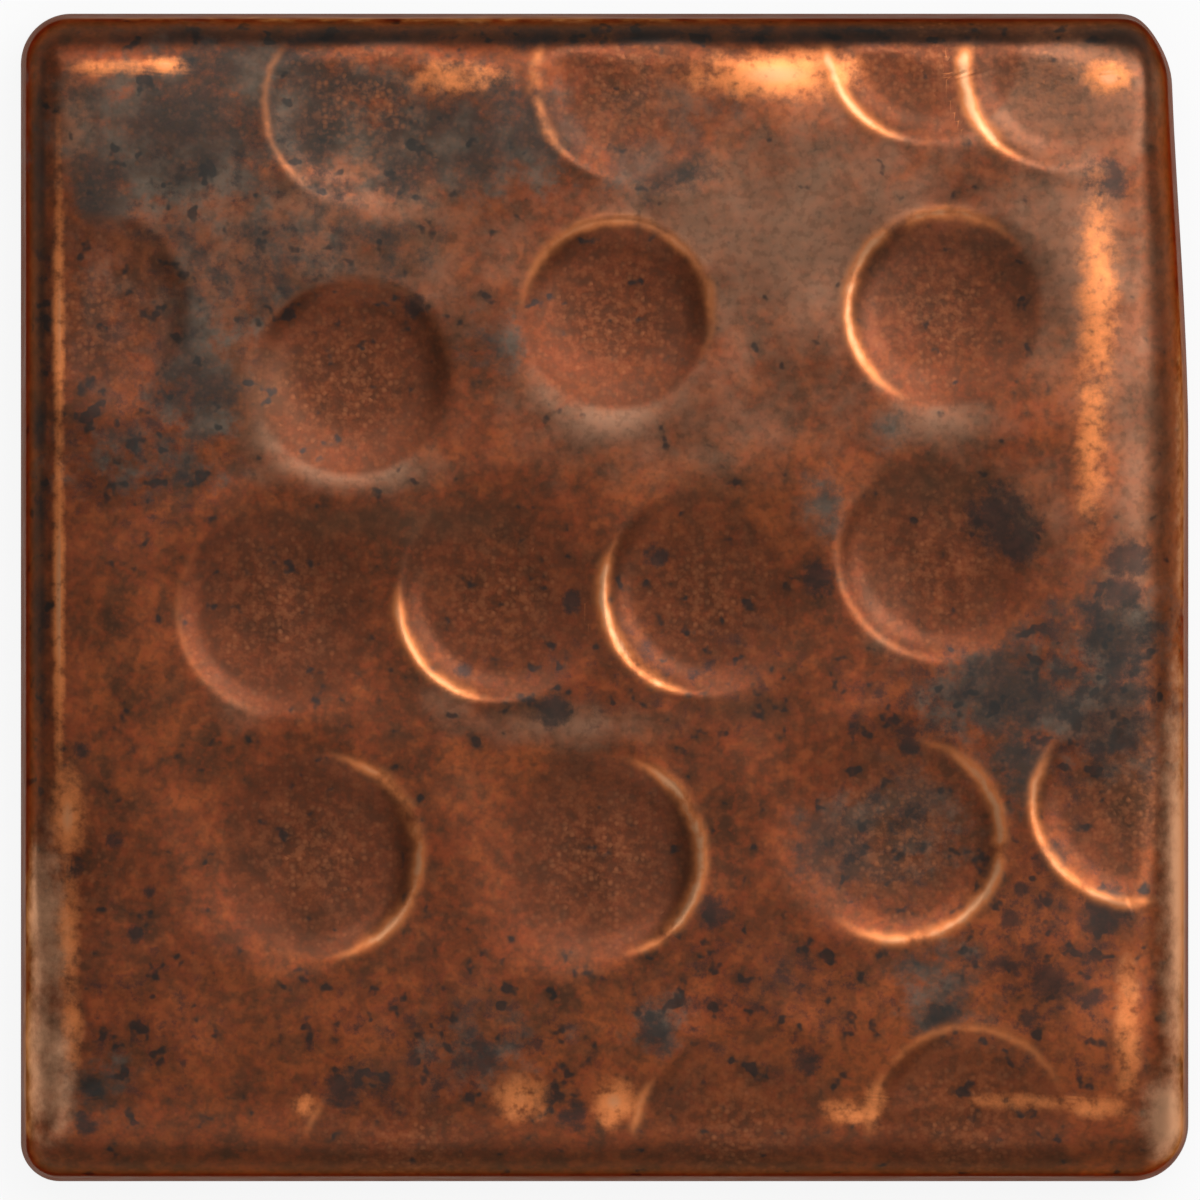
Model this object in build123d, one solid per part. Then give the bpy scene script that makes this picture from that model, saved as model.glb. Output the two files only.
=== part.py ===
"""Hammered copper tile: one square of copper sheet, dented all over by a small round hammer and
turned down at its edges into a shallow pan with an open back."""

from build123d import *
import os
from math import cos, radians, sqrt, tan

# Driving dimensions, in millimetres and degrees
tile_side = 50.8  # outside, across the foot of the turned-down edge
tile_height = 6.35  # from the foot to the face
sheet_thickness = 1.02
fold_radius = 1.9  # outside of the fold between the face and the edge
corner_radius = 2.4  # outside of the four upright corners, at the foot
corner_margin = 0.05  # the fold stays at least this much tighter than the corner it runs round
edge_splay = 4.0  # how far the turned-down edge leans out from upright

hammer_face_width = 8.8
hammer_dome_radius = 18.0
hammer_edge_bevel = 0.35  # how far up its side the bevel round its face reaches
hammer_length = 9.0  # the end of the hammer, as far up as a blow needs it
strike_depth = 0.6  # how far a blow sinks its middle below the face

# Every blow: its middle, across and up, in percent of half the side; how far the hammer leaned;
# and the direction of its low edge, anticlockwise from the right. Both angles are in degrees.
strikes = [
    (-41, 84, 2.0, 180),
    (5, 88, 2.5, 190),
    (55, 95, 2.5, 200),
    (78, 90, 3.0, 190),
    (-87, 49, 1.5, 20),
    (-43, 39, 1.5, 80),
    (2, 48, 1.5, 60),
    (58, 49, 1.5, 150),
    (-55, -2, 1.0, 200),
    (-18, 0, 3.0, 215),
    (17, 1, 3.5, 205),
    (57, 7, 3.0, 215),
    (-49, -44, 3.0, 10),
    (-1, -44, 3.5, 10),
    (50, -41, 1.5, 330),
    (90, -35, 2.0, 215),
    (-95, -48, 18.0, 180),
    (-34, -95, 2.0, 90),
    (22, -92, 2.0, 30),
    (62, -90, 2.0, 120),
]


def pan_block(inset):
    """A square block on the floor with leaning sides and a rounded top, drawn in by inset."""
    side = tile_side - 2 * inset / cos(radians(edge_splay))
    height = tile_height - inset
    foot_corner = corner_radius - inset
    top_corner = foot_corner - height * tan(radians(edge_splay))
    foot = RectangleRounded(side, side, foot_corner)
    block = extrude(foot, amount=height, taper=edge_splay)
    top = block.faces().sort_by(Axis.Z)[-1]
    return fillet(top.edges(), min(fold_radius - inset, top_corner - corner_margin))


def hammer_end(growth):
    """The end of the hammer, a bevelled round bar with a domed face, face down, grown all round."""
    half_width = hammer_face_width / 2
    dome_rise = hammer_dome_radius - sqrt(hammer_dome_radius**2 - half_width**2)
    foot_up = (Align.CENTER, Align.CENTER, Align.MIN)
    bar = Pos(0, 0, -growth) * Cylinder(half_width + growth, hammer_length, align=foot_up)
    bevel = dome_rise + hammer_edge_bevel + growth * (2 - sqrt(2))
    bar = chamfer(bar.edges().sort_by(Axis.Z)[0], bevel)
    ball = Rot(90, 0, 0) * Sphere(hammer_dome_radius + growth)
    return bar & Pos(0, 0, hammer_dome_radius) * ball


def at_every_blow(shape):
    """A copy of shape wherever the hammer landed, leaning as it struck."""
    half_side = tile_side / 2
    copies = []
    for across, up, lean, direction in strikes:
        middle = Pos(across / 100 * half_side, up / 100 * half_side, tile_height - strike_depth)
        copies.append(middle * Rot(0, 0, direction) * Rot(0, lean, 0) * shape)
    return copies


def copper_tile():
    """The sheet: the dented outside of the pan, less a hollow that every dent bulges into."""
    dented = pan_block(0) - at_every_blow(hammer_end(0))
    hollow = pan_block(sheet_thickness) - at_every_blow(hammer_end(sheet_thickness))
    return dented - hollow


os.makedirs("parts", exist_ok=True)
export_step(copper_tile(), "parts/copper_tile.step")
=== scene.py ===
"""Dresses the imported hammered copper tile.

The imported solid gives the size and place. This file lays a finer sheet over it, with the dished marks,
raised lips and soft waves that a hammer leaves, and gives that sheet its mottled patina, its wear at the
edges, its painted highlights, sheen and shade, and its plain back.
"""

import math

import bpy
import numpy as np
from bpy.props import FloatProperty, FloatVectorProperty, PointerProperty
from bpy.types import Operator, Panel, PropertyGroup
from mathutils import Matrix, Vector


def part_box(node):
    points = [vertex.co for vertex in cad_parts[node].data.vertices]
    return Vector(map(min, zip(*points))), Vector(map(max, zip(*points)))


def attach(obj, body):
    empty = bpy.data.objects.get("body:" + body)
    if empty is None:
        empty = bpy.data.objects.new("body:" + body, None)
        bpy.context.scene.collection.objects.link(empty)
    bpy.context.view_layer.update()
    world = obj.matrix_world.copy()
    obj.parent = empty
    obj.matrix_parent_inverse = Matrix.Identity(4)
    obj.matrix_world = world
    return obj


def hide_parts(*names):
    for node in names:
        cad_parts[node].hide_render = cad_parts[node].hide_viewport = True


bl_info = {
    "name": "Hammered Copper Tile",
    "version": (1, 0, 0),
    "blender": (4, 5, 0),
    "location": "View3D > Sidebar > Tile",
    "description": "A square pan of copper sheet with hammer marks, turned edges and a mottled patina",
    "category": "Add Mesh",
}

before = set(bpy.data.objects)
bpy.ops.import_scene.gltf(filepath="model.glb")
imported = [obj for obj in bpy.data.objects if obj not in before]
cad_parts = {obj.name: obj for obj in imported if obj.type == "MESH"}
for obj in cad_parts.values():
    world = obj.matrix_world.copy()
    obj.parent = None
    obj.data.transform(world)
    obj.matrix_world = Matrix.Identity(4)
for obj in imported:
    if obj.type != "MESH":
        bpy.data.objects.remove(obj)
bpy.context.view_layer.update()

NODE = "copper_tile"
MM = 0.001
LOW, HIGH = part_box(NODE)

# Cells along one side of the face and of the back, rings of cells round them, and cells in a corner
FACE_CELLS = 256
BACK_CELLS = 64
CORNER_SHARE = 10 / 256
MARGIN_RINGS = 3
FOLD_RINGS = 16
EDGE_RINGS = 4

# Rings of cells on the margin, the fold and the wall of the back
BACK_MARGIN_RINGS = 4
BACK_FOLD_RINGS = 5
BACK_WALL_RINGS = 3

# In millimetres: the gap between the grid of the face and the start of the fold, the least radius of a
# corner, how far the upper right edge was drawn in, the waves in the turned-down edge, and how far up
# and in the outer edge of the foot is rounded
GRID_GAP = 0.5
LEAST_CORNER = 0.25
EDGE_PULL = 0.80
EDGE_WAVE = 0.05
FOOT_RISE = 0.12
FOOT_INSET = 0.1

# Shortest and longest waves in the face and in the turned-down edge, in millimetres, and the seeds that
# set their places
FACE_WAVES = (4.0, 11.0)
FACE_SEED = 7
EDGE_WAVES = (9.0, 20.0)
EDGE_SEEDS = (11, 12)

# Where the drawn-in edge begins and is full, across and up, as shares of half the side; and how much of
# the sheet's thickness the inside of the fold is tighter by
PULL_ACROSS = (0.88, 1.0)
PULL_UP = (0.25, 1.05)
INNER_FOLD_SHARE = 0.8

# The wall of a mark: how far outside the mark's width it stands, how softly it meets the floor and how
# softly its rim is rounded, in millimetres; its slope at the low edge, and how much gentler it is on
# the far side
WALL_REACH = 0.1
WALL_ROUNDING = 0.36
RIM_ROUNDING = 0.6
WALL_SLOPE = 0.6
WALL_EASE = 0.25

# Stage, in metres: half the floor's side, its gap below the tile, the lamps' side, their places and the
# point they face
FLOOR_REACH = 1.5
FLOOR_GAP = 0.00002
LAMP_SIDE = 0.3
KEY_PLACE = (0.21, 0.145, 0.40)
TOP_PLACE = (-0.03, 0.26, 0.40)
FILL_PLACE = (-0.04, -0.27, 0.32)
LAMP_AIM = (0.0, 0.0, 0.005)

# Every blow, in the order struck: its middle, across and up, in percent of half the side; how far the
# hammer leaned and the direction of its low edge, in degrees; the width of its mark, how softly the
# mark fades on the side away from the low edge, how deep its middle lies and how far its floor rises
# from there to the rim, in millimetres; how clean of patina its floor is; how bright its lip is, as wear
# and painted highlight, and how far round to each side of the low edge that highlight runs, in degrees.
BLOWS = [
    (-41, 84, 2.0, 180, 8.4, 0.6, 0.45, 0.30, 0.0, 0.22, 60),
    (5, 88, 2.5, 185, 8.4, 0.6, 0.45, 0.30, 0.4, 0.60, 50),
    (55, 95, 2.5, 205, 8.6, 0.6, 0.45, 0.30, 0.8, 0.90, 55),
    (78, 90, 3.0, 195, 8.4, 0.6, 0.45, 0.30, 0.3, 1.00, 55),
    (-87, 49, 1.5, 20, 8.0, 0.6, 0.35, 0.25, 0.5, 0.00, 60),
    (-43, 37.5, 0.8, 75, 8.4, 0.4, 0.52, 0.20, 1.0, 0.05, 90),
    (2, 48, 1.5, 75, 8.0, 0.4, 0.52, 0.30, 1.0, 0.65, 110),
    (58, 49, 1.4, 145, 8.2, 0.4, 0.50, 0.30, 0.8, 0.85, 110),
    (-55, -2, 1.5, 200, 8.8, 0.8, 0.34, 0.32, 1.0, 0.10, 60),
    (-18, 0, 3.0, 218, 8.6, 0.6, 0.42, 0.30, 0.7, 0.75, 50),
    (17, 1, 3.5, 205, 8.6, 0.6, 0.45, 0.30, 0.7, 0.92, 60),
    (57, 7, 3.0, 215, 8.6, 0.6, 0.42, 0.34, 0.8, 0.12, 60),
    (-49, -44, 3.0, 0, 8.6, 0.8, 0.36, 0.17, 1.0, 0.85, 90),
    (-1, -44, 3.5, 0, 8.6, 0.8, 0.36, 0.17, 1.0, 0.95, 80),
    (50, -41, 1.5, 335, 8.6, 0.5, 0.36, 0.24, 0.3, 0.85, 112),
    (90, -35, 2.0, 215, 8.4, 0.5, 0.42, 0.30, 0.3, 0.75, 80),
    (-95, -48, 18.0, 180, 8.4, 0.6, 0.60, 0.50, 0.5, 0.60, 60),
    (-34, -95, 2.0, 180, 8.4, 0.6, 0.42, 0.30, 0.5, 0.30, 40),
    (22, -92, 2.0, 180, 8.4, 0.6, 0.42, 0.30, 0.5, 0.60, 40),
    (62, -90, 2.0, 125, 8.4, 0.6, 0.42, 0.30, 0.8, 0.42, 120),
]

# Soft patches on the face: middle, across and up, half width and half height in millimetres, strength.
# Slate-grey patina
SLATE_CLOUDS = [
    (-13.0, 22.2, 11.0, 1.4, 0.80),
    (-14.0, 14.5, 9.0, 6.0, 0.50),
    (-18.4, 19.8, 5.5, 4.0, 0.97),
    (-15.4, 22.9, 6.0, 1.2, 0.94),
    (-17.2, 8.6, 1.6, 3.0, 0.80),
    (-12.5, 20.8, 4.0, 2.6, 0.94),
    (-7.0, 19.8, 5.4, 3.0, 0.92),
    (-3.0, 20.0, 3.0, 2.4, 0.92),
    (-9.2, 15.6, 3.0, 1.0, 0.64),
    (-21.8, 17.0, 1.6, 1.6, 0.95),
    (-18.2, 10.8, 2.2, 4.2, 0.90),
    (-21.6, 11.5, 2.4, 3.6, 0.66),
    (-20.0, 6.0, 5.0, 2.4, 0.54),
    (-14.5, 15.0, 4.0, 3.0, 0.56),
    (-4.8, 11.0, 1.6, 1.8, 0.62),
    (2.0, 18.8, 3.0, 1.8, 0.82),
    (3.0, 21.0, 3.6, 2.0, 0.56),
    (9.4, 4.2, 1.2, 1.8, 0.66),
    (12.2, 7.2, 1.3, 1.0, 0.64),
    (17.4, -4.2, 4.2, 2.6, 0.95),
    (18.0, -7.0, 1.6, 2.4, 0.84),
    (22.0, -1.6, 3.2, 2.4, 0.80),
    (21.4, -5.2, 3.4, 3.0, 0.84),
    (10.2, -10.6, 2.2, 2.4, 0.80),
    (13.6, -9.4, 3.0, 3.0, 0.62),
    (14.4, -17.0, 2.6, 2.6, 0.66),
    (2.2, -18.6, 1.8, 2.0, 0.60),
    (-5.0, -19.5, 4.0, 2.4, 0.54),
    (-22.0, -21.0, 2.4, 2.4, 0.56),
]
# Black spatter and the specks round it
SPATTER_CLOUDS = [
    (19.5, -15.5, 5.5, 6.0, 0.50),
    (21.0, -4.0, 4.5, 6.0, 0.52),
    (14.0, -4.5, 5.5, 3.0, 0.44),
    (12.4, -10.4, 4.0, 4.0, 0.40),
    (7.0, -17.0, 8.0, 4.0, 0.40),
    (-16.0, 16.0, 9.0, 8.0, 0.34),
    (-20.0, 7.0, 5.0, 6.0, 0.40),
    (-7.0, -19.5, 9.0, 4.0, 0.40),
    (-20.0, -18.0, 5.0, 6.0, 0.32),
    (3.0, -3.5, 12.0, 4.0, 0.30),
    (-2.0, 24.3, 26.0, 0.8, 0.40),
    (-24.2, 6.0, 0.8, 20.0, 0.36),
]
# Painted sheen: pale lilac highlights on the lit sides of some marks and a lighter upper face
PAINTED_SHEEN_CLOUDS = [
    (9.0, 15.5, 8.0, 6.0, 0.85),
    (-22.8, 20.4, 1.2, 2.6, 0.75),
    (20.0, 15.0, 4.0, 7.0, 0.75),
    (3.0, 8.0, 9.0, 3.5, 0.55),
    (20.0, 21.8, 5.0, 3.2, 1.00),
    (3.0, 15.4, 4.0, 3.4, 0.80),
    (2.5, 20.5, 5.0, 3.5, 0.36),
    (-11.0, 5.6, 4.0, 1.0, 1.00),
    (-14.4, 7.0, 1.4, 1.3, 0.85),
    (-12.0, 15.4, 12.0, 6.0, 0.52),
    (16.0, 3.5, 8.0, 3.0, 0.50),
    (23.0, 8.0, 2.0, 14.0, 0.60),
    (0.5, 7.6, 3.4, 1.3, 0.95),
    (-2.6, 8.8, 1.3, 1.3, 0.70),
    (14.2, 7.4, 3.6, 1.2, 0.85),
    (12.2, -0.4, 1.2, 2.4, 0.75),
    (-15.6, -4.0, 1.4, 1.8, 0.60),
    (-1.6, -5.6, 4.6, 0.9, 0.80),
    (-6.8, -4.4, 1.2, 1.2, 0.70),
]
# Warmer, cleaner copper, partly painted warm light on the lower face and the right fold
CLEAN_AND_WARM_GLOW_CLOUDS = [
    (-14.0, -19.0, 9.0, 5.0, 0.55),
    (2.0, -19.5, 16.0, 4.0, 0.66),
    (15.0, -19.4, 9.0, 4.5, 0.92),
    (17.5, -14.0, 4.0, 2.6, 0.80),
    (-20.0, -4.0, 4.0, 7.0, 0.50),
    (6.5, 4.6, 8.0, 2.8, 0.66),
    (-3.0, -7.5, 6.0, 2.0, 0.60),
    (9.0, 22.0, 8.0, 2.0, 0.60),
    (20.0, 9.0, 4.0, 6.0, 0.50),
    (21.5, -20.0, 2.0, 5.0, 0.95),
    (24.4, 0.0, 1.6, 32.0, 0.95),
]
# Copper rubbed bright along the start of the fold, partly wear and partly painted highlight
RUBBED_AND_HIGHLIGHT_CLOUDS = [
    (-21.4, 22.9, 1.6, 0.36, 0.72),
    (-19.0, 23.0, 0.8, 0.4, 0.90),
    (-6.6, 22.5, 2.2, 0.8, 0.60),
    (7.4, 22.6, 3.5, 1.0, 0.90),
    (21.8, 22.5, 0.9, 0.7, 1.00),
    (21.3, 13.0, 0.9, 4.5, 0.75),
    (21.0, 7.0, 0.7, 4.5, 0.65),
    (-23.6, 12.0, 0.24, 7.0, 0.90),
    (-23.6, 0.0, 0.24, 8.0, 1.00),
    (-23.2, -9.5, 0.7, 1.8, 0.90),
    (-23.2, -14.5, 0.5, 2.6, 0.78),
    (-23.0, -18.6, 0.5, 2.0, 0.66),
    (-13.0, -21.9, 0.6, 0.5, 0.60),
    (-3.6, -21.6, 1.2, 1.0, 0.78),
    (0.4, -21.8, 0.9, 1.0, 0.88),
    (10.5, -22.2, 1.2, 0.5, 0.78),
    (11.6, -22.0, 0.5, 0.9, 0.80),
    (21.4, -22.0, 1.2, 0.5, 0.80),
    (18.0, -21.8, 2.4, 0.4, 0.56),
    (22.6, -18.5, 0.6, 3.4, 0.62),
]
# Painted shade: dark brown below the raised sides of some marks, beside one and inside two
SHADE_CLOUDS = [
    (-9.5, 3.3, 5.5, 0.9, 0.90),
    (-15.2, 9.0, 2.2, 3.4, 0.80),
    (-2.8, -4.9, 2.6, 0.7, 0.80),
    (6.2, -4.9, 2.4, 0.8, 0.80),
    (14.0, 5.0, 3.4, 1.2, 0.60),
    (-14.0, -14.6, 4.0, 1.4, 0.40),
    (4.0, -8.0, 1.4, 3.0, 0.40),
    (12.5, -10.2, 3.4, 3.4, 0.70),
    (22.6, -8.6, 2.6, 3.2, 0.80),
]
# Dull tan metal showing at the outer edge, partly painted highlight on the fold and at the corner
TAN_AND_HIGHLIGHT_CLOUDS = [
    (-24.2, -14.5, 1.0, 4.5, 0.62),
    (-24.3, -20.0, 1.2, 3.5, 0.74),
    (25.0, -13.0, 0.9, 9.0, 0.95),
    (24.4, -22.4, 1.0, 1.6, 1.10),
    (25.1, 6.0, 0.4, 9.0, 0.55),
    (-8.0, 25.2, 20.0, 0.3, 0.45),
]
# Dirt and painted shade in the crease where the fold begins
CREASE_DIRT_AND_SHADE_CLOUDS = [
    (-2.0, 24.2, 40.0, 1.2, 1.00),
    (-24.4, 10.0, 1.0, 19.0, 1.00),
]

# Single dark spots: middle, across and up, and radius, in millimetres
DARK_SPOTS = [
    (-11.3, -21.3, 0.7), (-5.5, -19.8, 0.7), (-1.4, -22.4, 0.5), (2.2, -18.6, 0.7), (4.7, -13.6, 0.6),
    (2.2, 1.8, 0.4), (-1.4, -0.2, 0.4), (-6.1, -3.1, 0.3), (9.2, 0.8, 0.6), (-22.2, -21.2, 0.4),
    (-20.2, -14.5, 0.3), (-22.6, -6.6, 0.3), (21.7, -13.5, 0.9), (19.3, -16.6, 0.7), (18.0, -12.6, 0.3),
    (17.2, -15.8, 0.3), (21.2, -17.2, 0.3), (18.3, -18.2, 0.3), (8.7, -20.0, 0.5), (10.8, -5.6, 0.3),
    (13.2, -6.4, 0.4), (-2.2, -4.9, 0.6), (17.2, 3.4, 1.2), (17.9, 2.4, 0.8), (22.7, 1.6, 0.8),
    (19.3, -11.3, 0.6), (22.4, 0.2, 0.7), (17.5, -13.9, 0.4), (21.7, 18.0, 0.8), (22.4, -6.2, 0.6),
    (-8.2, 12.6, 0.4), (14.6, -18.2, 0.6), (-22.9, -11.7, 0.35), (-21.1, -10.5, 0.3), (-19.7, -12.7, 0.25),
    (-22.4, -22.8, 0.4),
]


class TileForm(PropertyGroup):
    """Sizes of the sheet."""

    side: FloatProperty(
        name="Side", description="Outside width across the foot of the turned-down edge",
        default=HIGH.x - LOW.x, unit="LENGTH")
    height: FloatProperty(
        name="Height", description="From the foot to the face", default=HIGH.z - LOW.z, unit="LENGTH")
    sheet: FloatProperty(
        name="Sheet", description="Thickness of the copper", default=0.00102, unit="LENGTH")
    splay: FloatProperty(
        name="Splay", description="Lean of the turned-down edge", default=math.radians(4), subtype="ANGLE")
    fold: FloatProperty(
        name="Fold", description="Outside radius of the fold", default=0.0017, unit="LENGTH")
    fold_spread: FloatVectorProperty(
        name="Fold spread", description="How wide the fold runs at the bottom, right, top and left",
        default=(1.9, 1.25, 1.3, 1.0), size=4)
    corners: FloatVectorProperty(
        name="Corners", description="Radii of the bottom left, bottom right, top right and top left corners",
        default=(0.0017, 0.0025, 0.0031, 0.0022), size=4, unit="LENGTH")
    margin: FloatProperty(
        name="Margin", description="Width over which the face eases into the fold", default=0.0034,
        unit="LENGTH")
    margin_drop: FloatProperty(
        name="Margin drop", description="Fall of the face over that width", default=0.00022, unit="LENGTH")
    wave: FloatProperty(
        name="Wave", description="Height of the soft waves in the face", default=0.00004, unit="LENGTH")


class HammerForm(PropertyGroup):
    """Sizes that all the hammer's marks share."""

    crispness: FloatProperty(
        name="Crispness", description="Rounding of a mark's rim at its low edge", default=0.00014,
        unit="LENGTH")
    lip_height: FloatProperty(
        name="Lip height", description="Metal raised round a mark", default=0.00004, unit="LENGTH")
    lip_width: FloatProperty(
        name="Lip width", description="Width of the raised lip", default=0.00025, unit="LENGTH")


def colour(name, description, value):
    """A colour that a user would change."""
    return FloatVectorProperty(
        name=name, description=description, default=value, size=4, subtype="COLOR", min=0, max=1)


class CopperColours(PropertyGroup):
    """Colours of the metal and its patina, and of painted light and shade, in linear light."""

    brown: colour("Brown", "Aged copper of the face", (0.182, 0.050, 0.022, 1))
    maroon: colour("Maroon", "Bottom of the marks", (0.104, 0.034, 0.018, 1))
    red: colour("Red", "Reddish copper among the brown", (0.290, 0.062, 0.025, 1))
    # Warm: orange of cleaner copper and of random mottle; with the warm glow patches it is also painted warm
    # light
    warm: colour("Warm", "Cleaner copper of the lower face", (0.340, 0.086, 0.028, 1))
    # Painted sheen: a pale lilac colour that stands in for sheen on the upper face and on the lit sides of
    # some marks
    painted_sheen: colour("Bloom", "Pale dusty bloom on the upper face", (0.265, 0.146, 0.090, 1))
    # Gold: lighter grains in the marks, partly painted glints
    gold: colour("Gold", "Grains that glint in the marks", (0.44, 0.150, 0.062, 1))
    # Worn: the bright copper of the lips and the fold, partly wear and partly painted highlight
    worn_and_highlight: colour("Worn", "Copper rubbed bright on the lips of the marks", (0.74, 0.35, 0.17, 1))
    # Glow: a bright orange painted highlight along the start of the fold and on the lips
    glow: colour("Glow", "Copper rubbed along the fold", (0.92, 0.290, 0.092, 1))
    slate: colour("Slate", "Blue-grey patina", (0.033, 0.036, 0.033, 1))
    ash: colour("Ash", "Paler grey in the slate", (0.120, 0.104, 0.080, 1))
    olive: colour("Olive", "Dark blotches all over the face", (0.055, 0.034, 0.022, 1))
    black: colour("Black", "Dark spots and spatter", (0.028, 0.029, 0.028, 1))
    # Rim: dark brown of patina and random mottle, also used for painted shade on the fold, in the crease and
    # in the shade patches
    rim: colour("Rim", "Dark brown of the fold and edge", (0.088, 0.045, 0.026, 1))
    # Russet: the fold's colour where the warm glow patches lie, partly painted light
    russet: colour("Russet", "Red-brown of the fold where it is clean", (0.21, 0.060, 0.025, 1))
    # Tan: partly bare metal and partly painted highlight at the outer edge and the lower right corner
    tan: colour("Tan", "Dull metal showing at the outer edge", (0.82, 0.420, 0.230, 1))
    back: colour("Back", "Dull copper behind the face", (0.30, 0.115, 0.058, 1))


class StageForm(PropertyGroup):
    """Sizes and levels of the stage."""

    camera_height: FloatProperty(
        name="Camera height", description="Camera above the floor", default=0.9, unit="LENGTH")
    view_width: FloatProperty(
        name="View width", description="Width of floor in the picture", default=0.05222, unit="LENGTH")
    view_middle: FloatVectorProperty(
        name="View middle", description="Point of the floor below the camera", default=(-0.0002, -0.00011),
        size=2, unit="LENGTH")
    floor: colour("Floor", "Pale floor", (0.86, 0.86, 0.86, 1))
    paleness: FloatProperty(
        name="Paleness", description="How far the floor is lifted to white for the camera", default=0.88)
    sky: FloatProperty(name="Sky", description="Level of the light from all round", default=0.30)
    key: FloatProperty(
        name="Key", description="Power of the lamp at the upper right", default=0.95, unit="POWER")
    top: FloatProperty(
        name="Top", description="Power of the lamp at the top", default=0.62, unit="POWER")
    fill: FloatProperty(
        name="Fill", description="Power of the lamp at the bottom", default=0.22, unit="POWER")


def smooth_least(a, b, rounding):
    """The lesser of two surfaces, with a crossing rounded where they lie less than rounding apart."""
    near = np.maximum(rounding - np.abs(a - b), 0.0)
    return np.minimum(a, b) - near**2 / (4.0 * rounding)


def smooth_step(low, high, value):
    """0 below low, 1 above high and an even rise between them."""
    t = np.clip((value - low) / (high - low), 0.0, 1.0)
    return t * t * (3.0 - 2.0 * t)


def soft_waves(x, y, shortest, longest, seed, count=9):
    """Gentle unevenness between about -1 and 1, made of a few crossing waves."""
    dice = np.random.default_rng(seed)
    total = np.zeros_like(x)
    for _ in range(count):
        length = dice.uniform(shortest, longest)
        heading, phase = dice.uniform(0.0, 2.0 * math.pi, 2)
        total += np.sin((x * math.cos(heading) + y * math.sin(heading)) * 2.0 * math.pi / length + phase)
    return total / math.sqrt(count)


def clouds(x, y, patches):
    """Strength of a list of soft patches at each point."""
    total = np.zeros_like(x)
    for across, up, half_width, half_height, strength in patches:
        spread = ((x - across) / half_width) ** 2 + ((y - up) / half_height) ** 2
        total = np.maximum(total, strength * np.exp(-spread))
    return total


def spots(x, y):
    """1 in the middle of each dark spot, falling to 0 at twice its radius."""
    total = np.zeros_like(x)
    for across, up, radius in DARK_SPOTS:
        away = np.hypot(x - across, y - up) / radius
        total = np.maximum(total, 1.0 - smooth_step(0.3, 2.0, away))
    return total


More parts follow.
